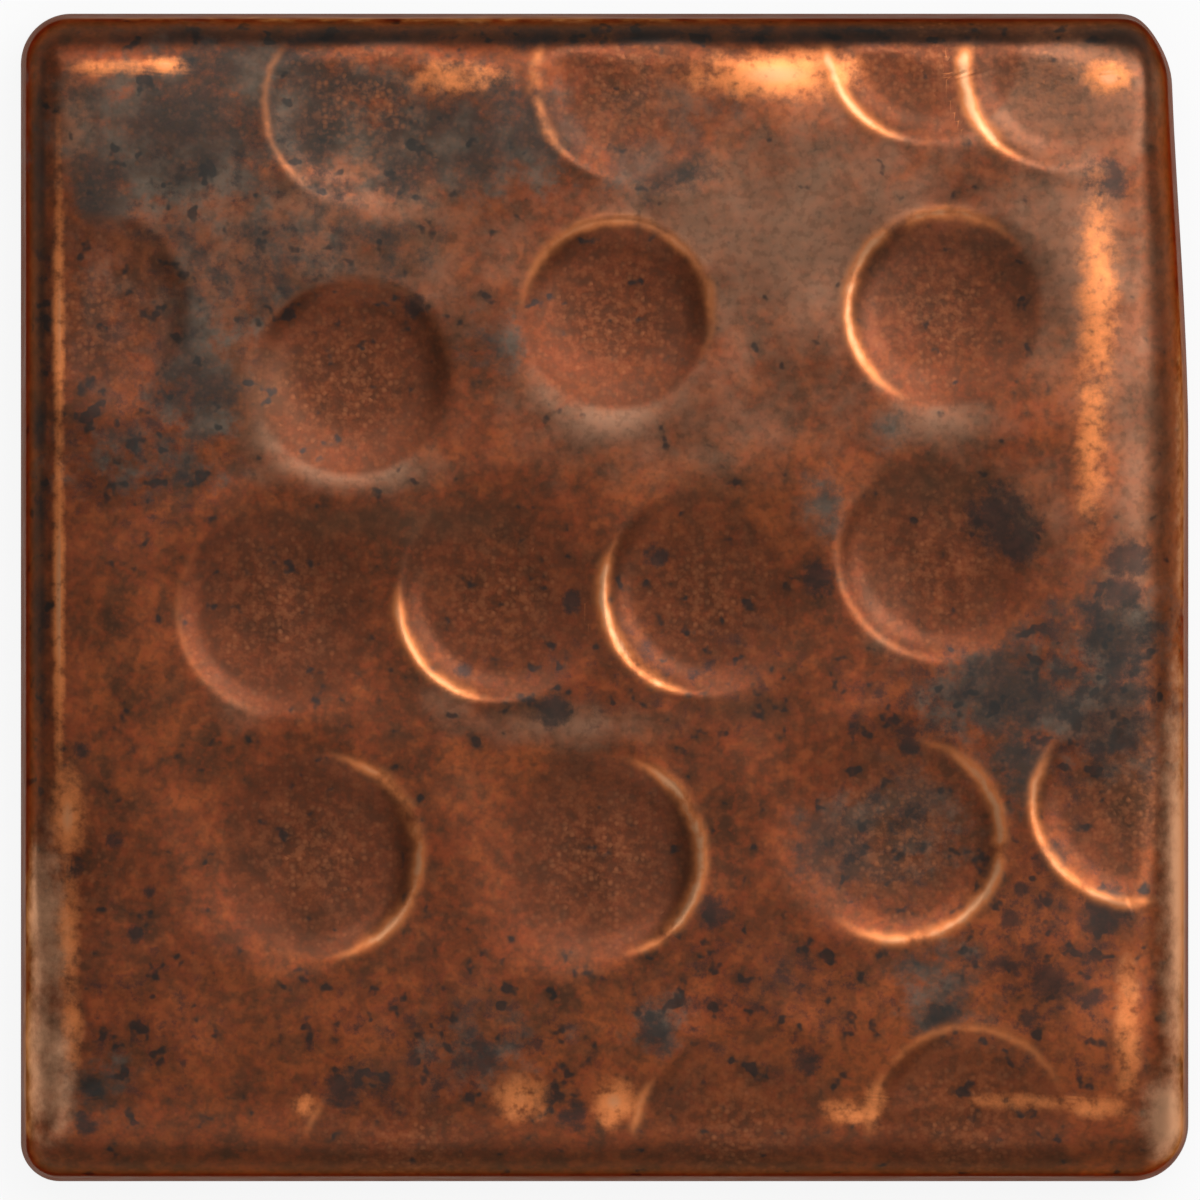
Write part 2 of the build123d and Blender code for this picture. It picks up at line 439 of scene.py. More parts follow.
class Sheet:
    """The dressed sheet in millimetres, in the part's own frame."""

    def __init__(self, form, hammer):
        self.half = form.side / MM / 2
        self.top = form.height / MM
        self.thick = form.sheet / MM
        self.lean = math.tan(form.splay)
        self.steepest = math.pi / 2 - form.splay
        self.fold = form.fold / MM
        self.spread = np.array(form.fold_spread)
        self.corners = np.array(form.corners) / MM
        self.margin = form.margin / MM
        self.margin_drop = form.margin_drop / MM
        self.wave = form.wave / MM
        self.crispness = hammer.crispness / MM
        self.lip_height = hammer.lip_height / MM
        self.lip_width = hammer.lip_width / MM
        self.fold_rise = self.fold * (1.0 - math.cos(self.steepest))
        self.fold_run = self.fold * math.sin(self.steepest)
        self.edge_top = self.top - self.fold_rise - self.margin_drop
        self.grid_insets = self.fold_starts() + GRID_GAP
        self.back_half = self.half - self.grid_insets.max() - self.thick

    def fold_starts(self):
        """How far in from the foot the fold starts, at the bottom, right, top and left."""
        return self.edge_top * self.lean + self.fold_run * self.spread

    def eased(self, x, y):
        """Fall of the face towards its four edges."""
        starts = self.half - self.fold_starts()
        fall = np.zeros_like(x)
        for reach, start in zip((-y, x, y, -x), starts):
            into = np.maximum(reach - (start - self.margin), 0.0) / self.margin
            fall += self.margin_drop * into**2
        return fall

    def struck(self, x, y, z):
        """Heights after every blow, with the dished marks, their grit, and how far off and how bright the
        nearest lip is."""
        dish, grit, gleam = np.zeros((3, len(x)))
        off = np.full(len(x), 1.0)
        for across, up, lean, direction, width, fade, depth, climb, clean, shine, span in BLOWS:
            dx = x - across / 100 * self.half
            dy = y - up / 100 * self.half
            heading = math.radians(direction)
            along = dx * math.cos(heading) + dy * math.sin(heading)
            away = np.hypot(dx, dy)
            turn = along / np.maximum(away, width / 4)
            tilt = math.tan(math.radians(lean))
            soft = smooth_step(0.8, -0.8, turn)
            dome = width**2 / (8 * climb)
            sink = depth + along * tilt - away**2 / (2 * dome)
            wall = (width / 2 + WALL_REACH - away) * (WALL_SLOPE - WALL_EASE * soft)
            sink = smooth_least(sink, wall, WALL_ROUNDING)
            z = smooth_least(z, -sink, self.crispness + (fade - self.crispness) * soft)
            reach = dome * (turn * tilt + np.sqrt((turn * tilt) ** 2 + 2 * depth / dome))
            rim = away - smooth_least(reach, width / 2 + WALL_REACH, RIM_ROUNDING)
            inside = smooth_step(0.4, -0.4, rim)
            lip = np.exp(-((rim / self.lip_width) ** 2)) * smooth_step(-0.8, 0.8, turn)
            z = z + self.lip_height * lip * shine * (1.0 - 0.7 * inside)
            limit = math.cos(math.radians(span))
            bright = shine * smooth_step(limit, 0.3 * limit + 0.7, turn) * smooth_step(0.9, 0.5, np.abs(rim))
            lit, was_lit = bright > 0.02, gleam > 0.02
            nearer = (rim < 0) | (lit & ((np.abs(rim) < np.abs(off)) | ~was_lit))
            apart = smooth_step(0.0, 0.35, np.abs(np.abs(rim) - np.abs(off)))
            crossing = np.where((rim > 0) & (off < 0) & lit & was_lit, apart, 1.0)
            off, gleam = np.where(nearer, rim, off), np.where(nearer, bright, gleam) * crossing
            dish = np.maximum(dish, clean * smooth_step(0.2, -0.25, rim))
            grit = np.maximum(grit, np.exp(-((away / (0.3 * width)) ** 2)))
        return z, dish, grit, np.clip(off, -1.0, 1.0), gleam

    def face(self, x, y, drop=0.0):
        """Heights of the struck face, lowered by drop where it has begun to fold."""
        z = self.wave * soft_waves(x, y, *FACE_WAVES, FACE_SEED) - self.eased(x, y) - drop
        z, *masks = self.struck(x, y, z)
        return self.top + z, np.stack(masks, axis=1)


def side_places(cells):
    """Where each point of a ring stands: its side, counted from the bottom anticlockwise, and its share."""
    side = np.repeat(np.arange(4), cells)
    share = np.tile(np.arange(cells) / cells, 4)
    return side, share


def squared_ring(extents, cells):
    """A ring with sharp corners. Extents are how far out the bottom, right, top and left sides lie."""
    side, share = side_places(cells)
    bottom, right, top, left = extents
    corners = np.array([(-left, -bottom), (right, -bottom), (right, top), (-left, top)])
    start, end = corners[side], corners[(side + 1) % 4]
    return start + (end - start) * share[:, None]


def rounded_ring(extents, radii, cells):
    """The same ring with round corners, each shared by its two sides."""
    side, share = side_places(cells)
    bottom, right, top, left = extents
    inward = np.array([(1, 1), (-1, 1), (-1, -1), (1, -1)])
    corners = np.array([(-left, -bottom), (right, -bottom), (right, top), (-left, top)])
    centres = corners + inward * radii[:, None]
    outward = -math.pi / 2 + side * math.pi / 2
    start, end = centres[side], centres[(side + 1) % 4]
    start_radius, end_radius = radii[side], radii[(side + 1) % 4]
    first = share < CORNER_SHARE
    last = share > 1 - CORNER_SHARE
    angle = outward + np.where(first, (share / CORNER_SHARE - 1) * math.pi / 4, 0.0)
    angle = angle + np.where(last, (share - 1 + CORNER_SHARE) / CORNER_SHARE * math.pi / 4, 0.0)
    radius = np.where(last, end_radius, start_radius)
    middle = np.clip((share - CORNER_SHARE) / (1 - 2 * CORNER_SHARE), 0.0, 1.0)
    centre = start + (end - start) * middle[:, None]
    straight = ~first & ~last
    radius = np.where(straight, start_radius + (end_radius - start_radius) * middle, radius)
    return centre + radius[:, None] * np.stack([np.cos(angle), np.sin(angle)], axis=1)


def pulled(points, sheet, amount):
    """Draws the top of the right side in a little, as the edge was bent there."""
    x, y = points[:, 0], points[:, 1]
    near = smooth_step(*PULL_ACROSS, x / sheet.half) * smooth_step(*PULL_UP, y / sheet.half)
    return np.stack([x - amount * near, y], axis=1)


class Skin:
    """Collects the points, faces and painted values of one mesh."""

    def __init__(self):
        self.points = []
        self.values = []
        self.quads = []
        self.materials = []
        self.count = 0

    def add_points(self, x, y, z, masks, turn):
        """Adds points and returns their numbers."""
        numbers = np.arange(self.count, self.count + len(x))
        self.points.append(np.stack([x, y, z], axis=1))
        self.values.append(np.column_stack([masks, np.full(len(x), turn)]))
        self.count += len(x)
        return numbers

    def add_quads(self, a, b, c, d, material):
        """Adds one quad for each row of four point numbers."""
        self.quads.append(np.stack([a, b, c, d], axis=1))
        self.materials.append(np.full(len(a), material))

    def join_rings(self, inner, outer, material, flipped=False):
        """A band of quads between two rings of as many points."""
        next_inner, next_outer = np.roll(inner, -1), np.roll(outer, -1)
        if flipped:
            self.add_quads(inner, next_inner, next_outer, outer, material)
        else:
            self.add_quads(inner, outer, next_outer, next_inner, material)


def grid_sheet(skin, sheet, cells, extents, drop, material, flipped=False):
    """The middle of the face or the back as a grid. Returns the numbers of its edge."""
    bottom, right, top, left = extents
    columns, rows = np.linspace(-left, right, cells + 1), np.linspace(-bottom, top, cells + 1)
    x, y = (a.ravel() for a in np.meshgrid(columns, rows, indexing="xy"))
    z, masks = sheet.face(x, y)
    numbers = skin.add_points(x, y, z - drop, masks, 0.0).reshape(cells + 1, cells + 1)
    a, b, c, d = (n.ravel() for n in (numbers[:-1, :-1], numbers[:-1, 1:], numbers[1:, 1:], numbers[1:, :-1]))
    if flipped:
        skin.add_quads(a, d, c, b, material)
    else:
        skin.add_quads(a, b, c, d, material)
    return np.concatenate([numbers[0, :-1], numbers[:-1, -1], numbers[-1, :0:-1], numbers[:0:-1, 0]])


def outer_rings(skin, sheet, edge):
    """Margin, fold, turned-down edge and foot, from the edge of the face's grid outwards."""
    ring = edge
    for step in range(1, MARGIN_RINGS + 1):
        share = step / MARGIN_RINGS
        insets = sheet.grid_insets - GRID_GAP * share
        plan = ring_plan(sheet, insets, FACE_CELLS, share)
        z, masks = sheet.face(plan[:, 0], plan[:, 1])
        ring = next_ring(skin, ring, plan, z, masks, 0.0)
    for step in range(1, FOLD_RINGS + 1):
        angle = sheet.steepest * step / FOLD_RINGS
        run = sheet.fold * math.sin(angle)
        insets = sheet.edge_top * sheet.lean + (sheet.fold_run - run) * sheet.spread
        plan = ring_plan(sheet, insets, FACE_CELLS, 1.0)
        drop = sheet.fold * (1.0 - math.cos(angle))
        z, masks = sheet.face(plan[:, 0], plan[:, 1], drop)
        ring = next_ring(skin, ring, plan, z, masks, angle / sheet.steepest)
    edge_top = z
    none = np.zeros((len(plan), 4))
    for step in range(1, EDGE_RINGS + 1):
        share = step / EDGE_RINGS
        z = edge_top + (FOOT_RISE - edge_top) * share
        insets = sheet.edge_top * sheet.lean * (1.0 - share) * np.ones(4)
        plan = ring_plan(sheet, insets, FACE_CELLS, 1.0)
        plan = plan + EDGE_WAVE * np.sin(share * math.pi) * wobble(plan)
        ring = next_ring(skin, ring, plan, z, none, 1.0 + share)
    plan = ring_plan(sheet, FOOT_INSET * np.ones(4), FACE_CELLS, 1.0)
    return next_ring(skin, ring, plan, np.zeros(len(plan)), none, 2.0)


def wobble(plan):
    """Slight waves in the turned-down edge, along x and y."""
    x, y = plan[:, 0], plan[:, 1]
    return np.stack([soft_waves(x, y, *EDGE_WAVES, seed) for seed in EDGE_SEEDS], axis=1)


def ring_plan(sheet, insets, cells, roundness):
    """Plan of the ring that lies insets in from the foot at its bottom, right, top and left."""
    extents = sheet.half - insets
    radii = np.maximum(sheet.corners - insets.mean(), LEAST_CORNER)
    square = squared_ring(extents, cells)
    round_ = rounded_ring(extents, radii, cells)
    blend = smooth_step(0.0, 1.0, np.array(roundness))
    return pulled(square + (round_ - square) * blend, sheet, EDGE_PULL * blend)


def next_ring(skin, ring, plan, z, masks, turn):
    """Adds a ring of the outside and joins it to the one before."""
    numbers = skin.add_points(plan[:, 0], plan[:, 1], z, masks, turn)
    skin.join_rings(ring, numbers, 0)
    return numbers


def inner_rings(skin, sheet, edge):
    """The back's margin, inner fold and inner wall, down to the foot."""
    ring = edge
    wall = sheet.thick / math.cos(math.atan(sheet.lean))
    inner_fold = sheet.fold - INNER_FOLD_SHARE * sheet.thick
    run = inner_fold * math.sin(sheet.steepest)
    fold_inset = wall + sheet.edge_top * sheet.lean + run
    grid_inset = sheet.half - sheet.back_half
    plans = []
    for step in range(1, BACK_MARGIN_RINGS + 1):
        share = step / BACK_MARGIN_RINGS
        plans.append((grid_inset + (fold_inset - grid_inset) * share, 0.0, share))
    for step in range(1, BACK_FOLD_RINGS + 1):
        angle = sheet.steepest * step / BACK_FOLD_RINGS
        drop = inner_fold * (1.0 - math.cos(angle))
        plans.append((fold_inset - inner_fold * math.sin(angle), drop, 1.0))
    for inset, drop, roundness in plans:
        plan = ring_plan(sheet, inset * np.ones(4), BACK_CELLS, roundness)
        z, _ = sheet.face(plan[:, 0], plan[:, 1])
        ring = back_ring(skin, ring, plan, z - sheet.thick - drop)
    wall_top = z - sheet.thick - drop
    for step in range(1, BACK_WALL_RINGS + 1):
        share = step / BACK_WALL_RINGS
        inset = wall + sheet.edge_top * sheet.lean * (1.0 - share)
        plan = ring_plan(sheet, inset * np.ones(4), BACK_CELLS, 1.0)
        ring = back_ring(skin, ring, plan, wall_top * (1.0 - share))
    return ring


def back_ring(skin, ring, plan, z):
    """Adds a ring of the back and joins it to the one before."""
    numbers = skin.add_points(plan[:, 0], plan[:, 1], z, np.zeros((len(plan), 4)), 0.0)
    skin.join_rings(ring, numbers, 1, flipped=True)
    return numbers


def foot_faces(outer, inner):
    """The flat cut end of the sheet: one face for each step of the coarser inner ring."""
    ratio = len(outer) // len(inner)
    faces = []
    for i, corner in enumerate(inner):
        outside = [outer[(i * ratio + k) % len(outer)] for k in range(ratio, -1, -1)]
        faces.append([inner[(i + 1) % len(inner)], corner, *reversed(outside)])
    return faces


def tile_mesh(form, hammer):
    """The closed mesh of the whole sheet, with its painted values."""
    sheet = Sheet(form, hammer)
    skin = Skin()
    edge = grid_sheet(skin, sheet, FACE_CELLS, sheet.half - sheet.grid_insets, 0.0, 0)
    outer = outer_rings(skin, sheet, edge)
    back_extents = np.full(4, sheet.back_half)
    back_edge = grid_sheet(skin, sheet, BACK_CELLS, back_extents, sheet.thick, 1, flipped=True)
    inner = inner_rings(skin, sheet, back_edge)
    points = np.concatenate(skin.points)
    quads = np.concatenate(skin.quads).tolist()
    feet = foot_faces(outer.tolist(), inner.tolist())
    mesh = bpy.data.meshes.new("hammered_tile")
    mesh.from_pydata((points * MM).tolist(), [], quads + feet)
    materials = np.concatenate(skin.materials + [np.ones(len(feet), int)])
    mesh.polygons.foreach_set("material_index", materials.astype(np.int32))
    smooth = np.concatenate([np.ones(len(quads), bool), np.zeros(len(feet), bool)])
    mesh.polygons.foreach_set("use_smooth", smooth)
    x, y = points[:, 0], points[:, 1]
    dish, grit, off, gleam, turn = np.concatenate(skin.values).T
    painted = {
        "dish": dish,
        "grit": grit,
        "lip_off": off,
        "lip_gleam": gleam,
        "turn": turn,
        "slate": clouds(x, y, SLATE_CLOUDS),
        "spatter": clouds(x, y, SPATTER_CLOUDS),
        "rubbed_and_highlight": clouds(x, y, RUBBED_AND_HIGHLIGHT_CLOUDS),
        "tan": clouds(x, y, TAN_AND_HIGHLIGHT_CLOUDS),
        "crease_dirt_and_shade": clouds(x, y, CREASE_DIRT_AND_SHADE_CLOUDS),
        "shade": clouds(x, y, SHADE_CLOUDS),
        "spot": spots(x, y),
        "painted_sheen": clouds(x, y, PAINTED_SHEEN_CLOUDS),
        "clean_and_warm_glow": clouds(x, y, CLEAN_AND_WARM_GLOW_CLOUDS),
    }
    for name, values in painted.items():
        mesh.attributes.new(name, "FLOAT", "POINT").data.foreach_set("value", values.astype(np.float32))
    mesh.validate()
    mesh.update()
    return mesh


def node(tree, kind, inputs=None, **settings):
    """A shader node with its settings, its values and its links."""
    made = tree.nodes.new("ShaderNode" + kind)
    for name, value in settings.items():
        setattr(made, name, value)
    for name, value in (inputs or {}).items():
        if isinstance(value, bpy.types.NodeSocket):
            tree.links.new(value, made.inputs[name])
        else:
            made.inputs[name].default_value = value
    row, column = divmod(len(tree.nodes), 12)
    made.location = (column * 190, -row * 320)
    return made


def maths(tree, operation, a, b=0.0, clamp=False):
    """The result of a two-way sum."""
    return node(tree, "Math", {0: a, 1: b}, operation=operation, use_clamp=clamp).outputs[0]


def rise(tree, value, low, high):
    """A smooth rise from 0 at low to 1 at high."""
    inputs = {"Value": value, "From Min": low, "From Max": high}
    return node(tree, "MapRange", inputs, interpolation_type="SMOOTHSTEP").outputs[0]


def stain(tree, mask, below, above):
    """One colour over another, by a mask."""
    made = node(tree, "Mix", {0: mask, 6: below, 7: above}, data_type="RGBA")
    return made.outputs[2]


def painted(tree, name):
    """A value painted on the mesh."""
    return node(tree, "Attribute", attribute_name=name).outputs["Fac"]


def new_group(name, inputs, outputs):
    """An empty node group with its sockets."""
    tree = bpy.data.node_groups.new(name, "ShaderNodeTree")
    for label, kind, value in inputs:
        socket = tree.interface.new_socket(name=label, in_out="INPUT", socket_type="NodeSocket" + kind)
        if value is not None:
            socket.default_value = value
    for label, kind in outputs:
        tree.interface.new_socket(name=label, in_out="OUTPUT", socket_type="NodeSocket" + kind)
    return tree, tree.nodes.new("NodeGroupInput").outputs, tree.nodes.new("NodeGroupOutput").inputs


def mottle_group():
    """Broad and fine unevenness of the metal's colour."""
    sizes = [("Vector", "Vector", None), ("Broad size", "Float", 5.0), ("Fine size", "Float", 0.8)]
    tree, given, out = new_group("copper_mottle", sizes, [("Broad", "Float"), ("Fine", "Float")])
    for size, label, detail in (("Broad size", "Broad", 4.0), ("Fine size", "Fine", 2.0)):
        scale = maths(tree, "DIVIDE", 1.0, given[size])
        inputs = {"Vector": given["Vector"], "Scale": scale, "Detail": detail, "Roughness": 0.55}
        tree.links.new(node(tree, "TexNoise", inputs).outputs["Fac"], out[label])
    return tree


def ragged_group():
    """Turns a soft painted patch into one with a ragged, blotchy edge."""
    inputs = [
        ("Vector", "Vector", None),
        ("Patch", "Float", 0.0),
        ("Blotch size", "Float", 1.5),
        ("Raggedness", "Float", 0.6),
        ("Edge", "Float", 0.2),
    ]
    tree, given, out = new_group("ragged_patch", inputs, [("Mask", "Float")])
    scale = maths(tree, "DIVIDE", 1.0, given["Blotch size"])
    noise_inputs = {"Vector": given["Vector"], "Scale": scale, "Detail": 5.0, "Roughness": 0.65}
    noise = node(tree, "TexNoise", noise_inputs).outputs["Fac"]
    swing = maths(tree, "MULTIPLY", maths(tree, "SUBTRACT", noise, 0.5), given["Raggedness"])
    level = maths(tree, "ADD", given["Patch"], maths(tree, "MULTIPLY", swing, 2.0))
    low = maths(tree, "SUBTRACT", 0.5, given["Edge"])
    high = maths(tree, "ADD", 0.5, given["Edge"])
    near = rise(tree, given["Patch"], 0.02, 0.3)
    tree.links.new(maths(tree, "MULTIPLY", rise(tree, level, low, high), near), out["Mask"])
    return tree


def grain_group():
    """Sand-like grain: its height, and soft lighter grains, used for lighter grain and painted glints."""
    inputs = [("Vector", "Vector", None), ("Grain size", "Float", 0.4)]
    tree, given, out = new_group("sand_grain", inputs, [("Height", "Float"), ("Glints", "Float")])
    scale = maths(tree, "DIVIDE", 1.0, given["Grain size"])
    sand = {"Vector": given["Vector"], "Scale": scale, "Detail": 2.0, "Roughness": 0.6}
    height = node(tree, "TexNoise", sand).outputs["Fac"]
    finer = maths(tree, "MULTIPLY", scale, 1.5)
    cells = node(tree, "TexVoronoi", {"Vector": given["Vector"], "Scale": finer, "Randomness": 1.0}).outputs
    shade = node(tree, "SeparateColor", {0: cells["Color"]}).outputs[0]
    dots = maths(tree, "MULTIPLY", rise(tree, cells["Distance"], 0.70, 0.05), rise(tree, shade, 0.3, 1.0))
    clumps = maths(tree, "MULTIPLY", rise(tree, height, 0.42, 0.72), 0.45)
    tree.links.new(height, out["Height"])
    tree.links.new(maths(tree, "MAXIMUM", clumps, maths(tree, "MULTIPLY", dots, 0.8)), out["Glints"])
    return tree


def place_group(tree, group, inputs):
    """A node group in a material, with its own values."""
    return node(tree, "Group", inputs, node_tree=group).outputs


def new_material(name):
    """A material with only its output and its main shader."""
    material = bpy.data.materials.new(name)
    material.use_nodes = True
    tree = material.node_tree
    tree.nodes.clear()
    shader = node(tree, "BsdfPrincipled")
    out = node(tree, "OutputMaterial")
    tree.links.new(shader.outputs[0], out.inputs["Surface"])
    place = node(tree, "TexCoord").outputs["Object"]
    in_mm = node(tree, "VectorMath", {0: place, 1: (1 / MM,) * 3}, operation="MULTIPLY").outputs[0]
    return material, tree, shader, in_mm


def face_material(colours, groups):
    """Aged copper of the face, fold and edge, with painted highlights, sheen and shade."""
    material, tree, shader, place = new_material("patinated_copper")
    mottle = place_group(tree, groups["mottle"], {"Vector": place, "Broad size": 3.2, "Fine size": 0.95})
    blots = place_group(tree, groups["mottle"], {"Vector": place, "Broad size": 1.7, "Fine size": 0.45})
    grain = place_group(tree, groups["grain"], {"Vector": place, "Grain size": 0.42})
    dish, grit, turn, crease_dirt_and_shade = (painted(tree, name) for name in ("dish", "grit", "turn", "crease_dirt_and_shade"))

    def ragged(name, size, raggedness, edge):
        """A painted patch with a ragged edge."""
        inputs = {"Vector": place, "Patch": painted(tree, name), "Blotch size": size,
                  "Raggedness": raggedness, "Edge": edge}
        return place_group(tree, groups["ragged"], inputs)["Mask"]

    def over(hue, mask, amount, top):
        """A colour laid over the ones below, by a share of a mask."""
        return stain(tree, maths(tree, "MULTIPLY", mask, amount), hue, tuple(top))

    slate = ragged("slate", 1.1, 0.9, 0.30)
    spatter = ragged("spatter", 0.9, 1.1, 0.25)
    spot = ragged("spot", 0.60, 1.2, 0.46)
    painted_sheen = ragged("painted_sheen", 1.6, 0.6, 0.5)
    clean_and_warm_glow = ragged("clean_and_warm_glow", 1.4, 1.0, 0.35)
    rubbed_and_highlight = ragged("rubbed_and_highlight", 0.9, 0.7, 0.45)
    # Painted highlight, partly bare tan metal, at the outer edge
    tan = maths(tree, "MULTIPLY", ragged("tan", 1.4, 0.7, 0.5), rise(tree, turn, 1.7, 0.9))
    shade = ragged("shade", 1.2, 0.6, 0.5)
    outside_clean_marks = maths(tree, "SUBTRACT", 1.0, dish)

    # Mottled copper, darker in the marks, with cleaner copper and painted warm light in patches
    hue = over(tuple(colours.brown), clean_and_warm_glow, 0.8, colours.warm)
    hue = over(hue, rise(tree, mottle["Broad"], 0.50, 0.70), 0.6, colours.red)
    hue = over(hue, rise(tree, mottle["Broad"], 0.50, 0.28), 0.5, colours.rim)
    hue = over(hue, rise(tree, mottle["Fine"], 0.50, 0.68), 0.5, colours.warm)
    hue = over(hue, rise(tree, mottle["Fine"], 0.48, 0.30), 0.5, colours.rim)
    hue = over(hue, rise(tree, blots["Broad"], 0.50, 0.68), 0.5, colours.olive)
    hue = over(hue, rise(tree, blots["Fine"], 0.50, 0.68), 0.45, colours.red)
    hue = over(hue, rise(tree, blots["Fine"], 0.50, 0.32), 0.30, colours.olive)
    hue = over(hue, dish, 0.60, colours.maroon)
    # Painted sheen and slate outside the marks, and painted shade beside and inside some of them
    hue = over(hue, maths(tree, "MULTIPLY", painted_sheen, outside_clean_marks), 0.72, colours.painted_sheen)
    hue = over(hue, shade, 0.7, colours.rim)
    slate = maths(tree, "MULTIPLY", slate, outside_clean_marks)
    ashen = stain(tree, rise(tree, mottle["Broad"], 0.4, 0.7), tuple(colours.slate), tuple(colours.ash))
    hue = stain(tree, maths(tree, "MULTIPLY", slate, 0.85), hue, ashen)
    # Sand-like grain, with lighter grains and painted glints
    glints = maths(tree, "MULTIPLY", grain["Glints"], maths(tree, "ADD", 0.3, grit))
    hue = over(hue, glints, 0.55, colours.gold)
    hue = over(hue, rise(tree, grain["Height"], 0.52, 0.35), 0.30, colours.rim)
    # Fold and edge, darkened partly as patina and partly as painted shade where the fold turns away, with
    # dirt and painted shade in the crease
    gradual, sudden = rise(tree, turn, 0.15, 1.0), rise(tree, turn, 0.26, 0.40)
    dirty_and_shaded = maths(tree, "MULTIPLY", crease_dirt_and_shade, sudden)
    rim = maths(tree, "MAXIMUM", gradual, dirty_and_shaded)
    face = rise(tree, turn, 0.40, 0.10)
    folded = stain(tree, clean_and_warm_glow, tuple(colours.rim), tuple(colours.russet))
    hue = stain(tree, maths(tree, "MULTIPLY", rim, 0.65), hue, folded)
    dirt_and_shade = maths(tree, "MULTIPLY", dirty_and_shaded, rise(tree, turn, 0.8, 0.5))
    dirt_and_shade = maths(tree, "MULTIPLY", dirt_and_shade, rise(tree, mottle["Broad"], 0.7, 0.35))
    hue = over(hue, dirt_and_shade, 0.85, colours.black)
    # Dark spots, spatter and specks
    sprinkled = maths(tree, "MULTIPLY", painted(tree, "spatter"), 0.25)
    specks = rise(tree, maths(tree, "SUBTRACT", mottle["Fine"], sprinkled), 0.34, 0.24)
    dark = maths(tree, "MAXIMUM", maths(tree, "MAXIMUM", spot, spatter), specks)
    hue = over(hue, dark, 0.74, colours.black)
    # Copper rubbed bright, with painted highlights, along the fold, on the lips of the marks, and at the
    # outer edge
    rubbed_and_highlight = maths(tree, "MULTIPLY", rubbed_and_highlight, rise(tree, turn, 0.60, 0.35))
    strongest = rise(tree, painted(tree, "rubbed_and_highlight"), 0.7, 1.0)
    bright = stain(tree, strongest, tuple(colours.glow), tuple(colours.worn_and_highlight))
    patchy = maths(tree, "MULTIPLY", rubbed_and_highlight, rise(tree, blots["Fine"], 0.10, 0.48))
    hue = stain(tree, maths(tree, "MULTIPLY", patchy, 0.85), hue, bright)
    # Painted highlights along the lips of the marks, over real wear, on the arcs that each blow lists
    wander = maths(tree, "MULTIPLY", maths(tree, "SUBTRACT", mottle["Fine"], 0.5), 0.4)
    gleam = painted(tree, "lip_gleam")
    broad = maths(tree, "ADD", 0.14, maths(tree, "MULTIPLY", gleam, 0.16))
    off = maths(tree, "DIVIDE", maths(tree, "ADD", painted(tree, "lip_off"), wander), broad)
    lip = maths(tree, "EXPONENT", maths(tree, "MULTIPLY", maths(tree, "MULTIPLY", off, off), -1.0))
    lip = maths(tree, "MULTIPLY", lip, gleam)
    lip = maths(tree, "MULTIPLY", maths(tree, "MULTIPLY", lip, face), rise(tree, blots["Broad"], 0.22, 0.56))
    shiny = stain(tree, rise(tree, lip, 0.45, 0.95), tuple(colours.glow), tuple(colours.worn_and_highlight))
    hue = stain(tree, maths(tree, "MULTIPLY", lip, 0.9), hue, shiny)
    worn_and_highlight = maths(tree, "MAXIMUM", lip, rubbed_and_highlight)
    hue = over(hue, tan, 0.85, colours.tan)
    tree.links.new(hue, shader.inputs["Base Color"])

    metal = maths(tree, "SUBTRACT", 1.0, maths(tree, "MULTIPLY", slate, 0.35))
    tree.links.new(metal, shader.inputs["Metallic"])
    rough = maths(tree, "ADD", 0.30, maths(tree, "MULTIPLY", mottle["Fine"], 0.16))
    rough = maths(tree, "ADD", rough, maths(tree, "MULTIPLY", slate, 0.12))
    rough = maths(tree, "SUBTRACT", rough, maths(tree, "MULTIPLY", worn_and_highlight, 0.06))
    tree.links.new(rough, shader.inputs["Roughness"])
    shader.inputs["Specular IOR Level"].default_value = 0.3
    shader.inputs["Specular Tint"].default_value = (0.45, 0.27, 0.18, 1.0)

    relief = maths(tree, "MULTIPLY", grain["Height"], maths(tree, "ADD", 0.3, grit))
    bump = node(tree, "Bump", {"Height": relief, "Strength": 0.30, "Distance": 0.03 * MM})
    tree.links.new(bump.outputs[0], shader.inputs["Normal"])
    return material


def back_material(colours, groups):
    """Dull copper of the back, never rubbed or patinated on purpose."""
    material, tree, shader, place = new_material("plain_copper_back")
    mottle = place_group(tree, groups["mottle"], {"Vector": place, "Broad size": 8.0, "Fine size": 1.4})
    grain = place_group(tree, groups["grain"], {"Vector": place, "Grain size": 0.25})
    inputs = {"Vector": place, "Patch": 0.35, "Blotch size": 5.0, "Raggedness": 0.8, "Edge": 0.3}
    stains = place_group(tree, groups["ragged"], inputs)["Mask"]
    hue = stain(tree, rise(tree, mottle["Broad"], 0.3, 0.7), tuple(colours.back), tuple(colours.brown))
    hue = stain(tree, maths(tree, "MULTIPLY", stains, 0.6), hue, tuple(colours.rim))
    tree.links.new(hue, shader.inputs["Base Color"])
    shader.inputs["Metallic"].default_value = 1.0
    rough = maths(tree, "ADD", 0.42, maths(tree, "MULTIPLY", mottle["Fine"], 0.16))
    tree.links.new(rough, shader.inputs["Roughness"])
    bump = node(tree, "Bump", {"Height": grain["Height"], "Strength": 0.4, "Distance": 0.02 * MM})
    tree.links.new(bump.outputs[0], shader.inputs["Normal"])
    return material


